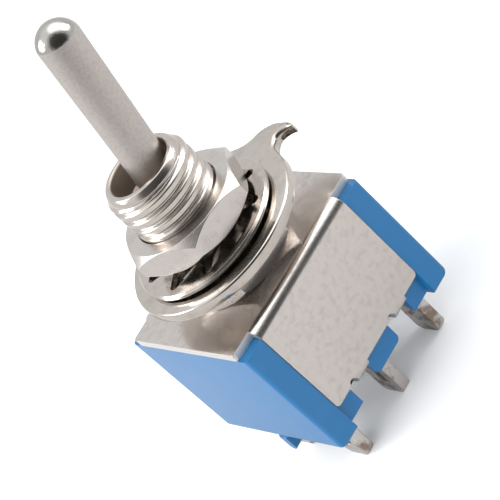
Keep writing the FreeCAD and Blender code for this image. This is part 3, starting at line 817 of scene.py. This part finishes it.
@dataclass
class Nut:
    """A hexagonal nut with chamfered corners and a countersunk bore."""

    name: str
    node: str
    low: float
    turn: float
    sides: int = 6
    across_flats: float = 8.0
    thickness: float = 1.88
    face_radius: float = 3.96
    chamfer_angle: float = 41.0
    bore_radius: float = 2.77
    sink_radius: float = 3.08
    sink_depth: float = 0.5
    per_side: int = 16
    edge_round: float = 0.035
    edge_angle: float = 20.0

    def section(self, outer: float) -> Outline:
        """Give the nut's section at one angle.

        Args:
            outer: The side's distance from the axis there.

        Returns:
            Pairs of a radius and a height, from the bore's top over the side to the bore's foot.
        """
        high = self.low + self.thickness
        drop = (outer - self.face_radius) * math.tan(math.radians(self.chamfer_angle))
        return [(self.bore_radius, high - self.sink_depth), (self.sink_radius, high),
                (self.face_radius, high), (outer, high - drop), (outer, self.low + drop),
                (self.face_radius, self.low), (self.sink_radius, self.low),
                (self.bore_radius, self.low + self.sink_depth)]

    def build(self, shop: Workshop) -> None:
        """Build the nut as one closed skin with rounded edges.

        Args:
            shop: The shared tools and materials.
        """
        span = 360 / self.sides
        columns = []
        for index in range(self.sides * self.per_side):
            share = index / self.per_side
            angle = math.radians(self.turn + share * span)
            outer = self.across_flats / 2 / math.cos(math.radians(share % 1.0 * span - span / 2))
            columns.append([spin(radius, angle, height) for radius, height in self.section(outer)])
        mesh = shop.skin([list(ring) for ring in zip(*columns)], closed=True)
        piece = shop.place(mesh, self.name, Slot.NUT, Body.HOUSING, self.node, self.edge_angle)
        shop.round_edges(piece, self.edge_round, self.edge_angle)


@dataclass
class LocatingWasher:
    """The keyed ring with its hooked tab, whose edges the press has rolled over.

    Each leg of the tab holds the place where it ends and how far its middle bulges. Each turn of the
    edge holds an angle in degrees and whether it is on the upper roll.
    """

    radius: float = 6.2
    shift: float = 0.2
    thickness: float = 0.75
    bore: float = 3.5
    bore_steps: int = 72
    key_reach: float = 2.65
    key_half: float = 0.45
    root_angle: float = 17.5
    tab_root: tuple[float, float] = (6.113, 1.864)
    tab_legs: tuple[Triple, ...] = (
        (7.3, 0.84, 0.18), (8.13, -1.6, -0.4), (7.86, -2.3, -0.12), (7.1, -1.28, 0.18),
        (6.113, -1.864, 0.09))
    leg_steps: int = 14
    ring_steps: int = 130
    rubs: int = 3
    foot_roll: float = 0.1
    edge_turns: tuple[tuple[float, bool], ...] = (
        (90, False), (45, False), (0, False),
        (0, True), (22.5, True), (45, True), (67.5, True), (90, True))
    ring_roll: float = 0.17
    tab_roll: float = 0.3
    tab_fade: float = 0.8
    corner_roll: float = 0.1
    corner_slope: float = 0.4
    lean: float = -2.5
    pivot: float = -3.85
    base: float = -3.84

    def outline(self) -> list[Vector]:
        """Give the outer outline, with its corners rubbed round.

        Returns:
            The points, in millimetres, anticlockwise.
        """
        points: list[Vector] = []
        x, y = self.tab_root
        for end_x, end_y, bulge in self.tab_legs:
            along = Vector((end_x - x, end_y - y))
            aside = Vector((along.y, -along.x)).normalized()
            for step in range(self.leg_steps):
                share = step / self.leg_steps
                points.append(Vector((x, y)) + along * share + aside * bulge * 4 * share * (1 - share))
            x, y = end_x, end_y
        sweep = 360 - 2 * self.root_angle
        for step in range(self.ring_steps):
            angle = math.radians(-self.root_angle - sweep * step / self.ring_steps)
            points.append(Vector((self.shift + self.radius * math.cos(angle),
                                  self.radius * math.sin(angle))))
        points.reverse()
        for _ in range(self.rubs):
            points = [(points[index - 1] + 2 * here + points[(index + 1) % len(points)]) / 4
                      for index, here in enumerate(points)]
        return points

    def roll(self, point: Vector) -> float:
        """Give how far the upper edge is rolled at a place.

        Args:
            point: A point of the outline, in millimetres.

        Returns:
            The roll's radius, wider along the tab and narrow at its two outer corners.
        """
        share = min(1.0, max(0.0, (point.x - self.radius) / self.tab_fade))
        wide = self.ring_roll + (self.tab_roll - self.ring_roll) * share
        corners = [Vector(leg[:2]) for leg in self.tab_legs[1:3]]
        near = [self.corner_roll + self.corner_slope * (point - corner).length for corner in corners]
        return min([wide] + near)

    def bore_outline(self) -> list[Vector]:
        """Give the bore's outline, with the key on its +X side.

        Returns:
            The points, in millimetres, anticlockwise.
        """
        gap = math.asin(self.key_half / self.bore)
        points = [Vector((self.key_reach, -self.key_half)), Vector((self.key_reach, self.key_half))]
        for step in range(self.bore_steps + 1):
            angle = gap + (2 * math.pi - 2 * gap) * step / self.bore_steps
            points.append(Vector((self.bore * math.cos(angle), self.bore * math.sin(angle))))
        return points

    def edge_rings(self) -> list[list[Vector]]:
        """Give the rings up the rolled outer edge.

        Returns:
            The rings, in millimetres, from the lower face's rim to the upper face's.
        """
        outer = self.outline()
        inward = []
        for index in range(len(outer)):
            along = (outer[(index + 1) % len(outer)] - outer[index - 1]).normalized()
            inward.append(Vector((-along.y, along.x)))
        rings = []
        for turned, upper in self.edge_turns:
            ring = []
            for point, way in zip(outer, inward):
                roll = self.roll(point) if upper else self.foot_roll
                fall = roll * (1 - math.sin(math.radians(turned)))
                place = point + way * roll * (1 - math.cos(math.radians(turned)))
                ring.append(Vector((*place, self.thickness - fall if upper else fall)))
            rings.append(ring)
        return rings

    def build(self, shop: Workshop) -> None:
        """Build the washer as one closed skin, leaning as it lies on the lower nut.

        Args:
            shop: The shared tools and materials.
        """
        hole = self.bore_outline()
        walls = [[point.to_3d() + Vector((0, 0, level)) for point in hole]
                 for level in (0.0, self.thickness)]
        mesh = bmesh.new()
        edge, bore = (shop.stitch(mesh, [[point * MM for point in ring] for ring in rings])
                      for rings in (self.edge_rings(), walls))
        for face in (0, -1):
            lines = []
            for loop in (edge[face], bore[face]):
                for index in range(len(loop)):
                    lines.append(mesh.edges.get((loop[index], loop[(index + 1) % len(loop)])))
            bmesh.ops.triangle_fill(mesh, edges=lines, use_beauty=True)
        lift = Matrix.Translation(Vector((self.pivot, 0, self.base)) * MM)
        back = Matrix.Translation(Vector((-self.pivot, 0, 0)) * MM)
        mesh.transform(lift @ Matrix.Rotation(math.radians(self.lean), 4, "Y") @ back)
        shop.place(mesh, "keyed_ring", Slot.WASHER, Body.HOUSING, "locating_washer")


@dataclass
class LockWasher:
    """The spring washer with twisted inner teeth, as its solid is."""

    node: str = "tooth_lock_washer"

    def build(self, shop: Workshop) -> None:
        """Dress the washer.

        Args:
            shop: The shared tools and materials.
        """
        shop.dress(self.node, Slot.WASHER)


@dataclass
class Housing:
    """The bracket, the moulded case, and what is fixed in it."""

    case_edge: float = 0.045
    case_side: float = 6.65
    ear_foot: float = -15.72
    ear_round: float = 0.46
    ear_steps: int = 4
    rib_sides: tuple[float, float] = (-0.4, 0.7)
    ear_inside: float = 5.05
    joint_inside: float = 4.97
    foot_gap: tuple[float, float] = (1.1, 3.6)
    wall_sides: tuple[float, float] = (4.05, 4.95)
    floor_level: float = -14.12
    lug_edge: float = 0.07

    def open_feet(self, mesh: Mesh) -> None:
        """Cut away the low wall between the feet, which the bracket's lips cover.

        Args:
            mesh: The case's mesh, in metres. It is changed in place.
        """
        near, far = self.foot_gap
        inner, outer = self.wall_sides
        depth = self.floor_level - self.ear_foot
        size = Vector((far - near, outer - inner, depth))
        middle = Vector(((near + far) / 2, (inner + outer) / 2, self.floor_level - depth / 2))
        Workshop.carve(mesh, [(Vector((side * middle.x, row * middle.y, middle.z)), size)
                              for side in (-1, 1) for row in (-1, 1)])

    def cut_lines(self, mesh: Mesh, centre: Vector) -> None:
        """Cut the case's faces along the rib's sides and across the ears' corners.

        Args:
            mesh: The case's mesh, in metres. It is changed in place.
            centre: The centre of an ear's rounding, along X and Z, in millimetres.
        """
        cuts = [(Vector((0, side, 0)), Vector((0, 1, 0))) for side in self.rib_sides]
        for step in range(self.ear_steps):
            reach = self.ear_round * math.tan(math.radians(45 / self.ear_steps * step))
            cuts.append((Vector((0, 0, centre.y - reach)), Vector((0, 0, 1))))
            cuts += [(Vector((side * (centre.x + reach), 0, 0)), Vector((1, 0, 0))) for side in (-1, 1)]
        for place, way in cuts:
            bmesh.ops.bisect_plane(mesh, geom=[*mesh.verts, *mesh.edges, *mesh.faces], dist=ON_PLANE,
                                   plane_co=place * MM, plane_no=way)

    def shape_case(self, mesh: Mesh) -> None:
        """Open the feet, round the ears' outer lower corners, and close the ears up to the side plates.

        Args:
            mesh: The case's mesh, in metres. It is changed in place.
        """
        self.open_feet(mesh)
        centre = Vector((self.case_side - self.ear_round, self.ear_foot + self.ear_round))
        self.cut_lines(mesh, centre)
        low, high = self.rib_sides
        for vert in mesh.verts:
            x, y, z = vert.co / MM
            if abs(abs(x) - self.ear_inside) < SLACK:
                vert.co.x = math.copysign(self.joint_inside, x) * MM
            out, down = abs(x) - centre.x, centre.y - z
            if low + SLACK < y < high - SLACK or min(out, down) < SLACK or z < self.ear_foot - SLACK:
                continue
            share = max(out, down) / math.hypot(out, down)
            vert.co.x = math.copysign(centre.x + out * share, x) * MM
            vert.co.z = (centre.y - down * share) * MM
        bmesh.ops.remove_doubles(mesh, verts=mesh.verts, dist=WELD * MM)

    def build(self, shop: Workshop) -> None:
        """Dress the bracket, the case, the terminals, the seals and the rocking contacts.

        Args:
            shop: The shared tools and materials.
        """
        shop.dress("bracket", Slot.SHEET)
        shop.soften("case", "moulded_case", Slot.MOULDING, Body.HOUSING, self.case_edge, self.shape_case)
        for pole in POLES:
            shop.dress("terminal_seal_" + pole, Slot.SEAL)
            shop.dress("rocker_contact_" + pole, Slot.CONTACT)
            for row in LUG_ROWS:
                shop.soften(f"{row}_terminal_{pole}", f"{row}_lug_{pole}", Slot.TERMINAL, Body.HOUSING,
                            self.lug_edge)


@dataclass(frozen=True)
class Lamp:
    """A soft square lamp that faces the switch. Lengths are in millimetres, and the power in watts."""

    name: str
    place: Triple
    side: float
    power: float

    def hang(self) -> None:
        """Hang the lamp."""
        data = bpy.data.lights.new(self.name, "AREA")
        data.size = self.side * MM
        data.energy = self.power
        lamp = put(self.name, data)
        spot = Vector(self.place) * MM
        lamp.location = spot
        lamp.rotation_euler = (-spot).to_track_quat("-Z", "Y").to_euler()


@dataclass
class Studio:
    """The camera, the lamps, the white surroundings and the floor."""

    camera_place: Triple = (-38.782, -102.157, 58.751)
    right: Triple = (0.4973, -0.5950, -0.6314)
    up: Triple = (0.8096, 0.0566, 0.5843)
    back: Triple = (-0.3119, -0.8018, 0.5098)
    lens: float = 150.15
    sensor: float = 36.0
    near_limit: float = 1.0
    far_limit: float = 20000.0
    floor_height: float = -19.3
    floor_size: float = 4000.0
    floor_reflected: Triple = (0.58, 0.567, 0.562)
    floor_seen: Triple = (0.91, 0.92, 0.93)
    floor_glow: float = 0.06
    floor_roughness: float = 0.9
    floor_specular: float = 0.1
    side_way: Triple = (-1.0, 0.0, 0.0)
    side_steps: Steps = ((0.0, 0.9), (0.5, 0.94), (0.75, 1.6), (1.0, 3.4))
    ceiling_way: Triple = (0.0, 0.0, 1.0)
    ceiling_steps: Steps = ((0.0, 0.55), (0.5, 0.78), (0.75, 0.8), (0.9, 1.1))
    patch_way: Triple = (0.52, -0.08, 0.85)
    patch_steps: Steps = ((0.0, 1.0), (0.9, 1.0), (0.96, 2.2))
    corner_steps: Steps = ((0.0, 1.0), (0.74, 1.0), (0.9, 0.09), (1.0, 0.06))
    lamps: tuple[Lamp, ...] = (Lamp("top_lamp", (205.0, -70.0, 122.0), 110.0, 0.16),
                               Lamp("left_lamp", (-155.0, 147.0, 128.0), 120.0, 0.2))

    def build_camera(self) -> None:
        """Set the camera where the photograph was taken from."""
        data = bpy.data.cameras.new("photo_camera")
        data.lens = self.lens
        data.sensor_width = self.sensor
        data.sensor_height = self.sensor
        data.clip_start = self.near_limit * MM
        data.clip_end = self.far_limit * MM
        camera = put("photo_camera", data)
        turn = Matrix((self.right, self.up, self.back)).transposed().to_4x4()
        camera.matrix_world = Matrix.Translation(Vector(self.camera_place) * MM) @ turn
        bpy.context.scene.camera = camera

    def build_world(self) -> None:
        """Make surroundings that are white to the eye, soft in diffuse light, and graded in reflections.

        The diffuse light is strongest from the -X side. The reflections hold a pale ceiling with one
        bright patch, darker walls, and the dark corner that the camera stands in.
        """
        world = bpy.data.worlds.new("soft_room")
        bpy.context.scene.world = world
        world.use_nodes = True
        tree = world.node_tree
        path = add_node(tree, "LightPath")
        place = add_node(tree, "TexCoord")
        reflected = self.grade(tree, place, self.ceiling_way, self.ceiling_steps)
        for way, steps in ((self.back, self.corner_steps), (self.patch_way, self.patch_steps)):
            reflected = blend(tree, 1.0, reflected, self.grade(tree, place, way, steps), "MULTIPLY")
        even = self.grade(tree, place, self.side_way, self.side_steps)
        light = blend(tree, path.outputs["Is Glossy Ray"], even, reflected)
        seen = blend(tree, path.outputs["Is Camera Ray"], light, WHITE)
        background = tree.nodes["Background"]
        tree.links.new(seen, background.inputs["Color"])
        background.inputs["Strength"].default_value = 1.0

    @staticmethod
    def grade(tree: Tree, place: bpy.types.Node, towards: Triple,
              steps: Steps) -> Socket:
        """Grade the surroundings' brightness by how far a direction points some way.

        Args:
            tree: The world's tree.
            place: The node that gives the direction.
            towards: The way that the grade runs.
            steps: Pairs of a position from 0, away, to 1, towards, and a brightness.

        Returns:
            The socket with the brightness.
        """
        along = add_node(tree, "VectorMath", {0: place.outputs["Generated"], 1: towards},
                         operation="DOT_PRODUCT")
        share = add_node(tree, "MapRange", {"Value": along.outputs["Value"], "From Min": -1.0})
        ramp = add_node(tree, "ValToRGB", {"Fac": share.outputs["Result"]})
        ramp.color_ramp.interpolation = "EASE"
        while len(ramp.color_ramp.elements) < len(steps):
            ramp.color_ramp.elements.new(0.5)
        for element, (position, level) in zip(ramp.color_ramp.elements, steps):
            element.position = position
            element.color = (level, level, level, 1)
        return ramp.outputs["Color"]

    def floor_material(self) -> bpy.types.Material:
        """Make the floor's material, which is paler to the camera than to what stands on it.

        Returns:
            The material.
        """
        material = bpy.data.materials.new("pale_floor")
        material.use_nodes = True
        tree = material.node_tree
        shader = tree.nodes["Principled BSDF"]
        seen = add_node(tree, "LightPath").outputs["Is Camera Ray"]
        tone = blend(tree, seen, (*self.floor_reflected, 1), (*self.floor_seen, 1))
        tree.links.new(tone, shader.inputs["Base Color"])
        tree.links.new(reckon(tree, "MULTIPLY", seen, self.floor_glow), shader.inputs["Emission Strength"])
        shader.inputs["Emission Color"].default_value = WHITE
        shader.inputs["Roughness"].default_value = self.floor_roughness
        shader.inputs["Specular IOR Level"].default_value = self.floor_specular
        return material

    def build_floor(self) -> None:
        """Lay the pale floor that the lugs stand on."""
        mesh = bmesh.new()
        side = self.floor_size / 2
        mesh.faces.new([mesh.verts.new(Vector((x * side, y * side, self.floor_height)) * MM)
                        for x, y in ((-1, -1), (1, -1), (1, 1), (-1, 1))])
        data = bpy.data.meshes.new("floor")
        mesh.to_mesh(data)
        mesh.free()
        floor = put("floor", data)
        data.materials.append(self.floor_material())

    def build(self) -> None:
        """Set up everything round the switch."""
        bpy.context.scene.view_settings.view_transform = "Standard"
        self.build_camera()
        self.build_world()
        self.build_floor()
        for lamp in self.lamps:
            lamp.hang()


def main() -> None:
    """Build the switch and its studio."""
    shop = Workshop(FINISHES)
    Studio().build()
    upper = Nut("hex_nut_upper", "upper_nut", low=-1.88, turn=-6.2)
    lower = Nut("hex_nut_lower", "lower_nut", low=-5.72, turn=-5.4)
    for assembly in (Housing(), Lever(), Bushing(), upper, lower, LocatingWasher(), LockWasher()):
        assembly.build(shop)
        log.info("built %s", type(assembly).__name__)


if __name__ == "__main__":
    main()
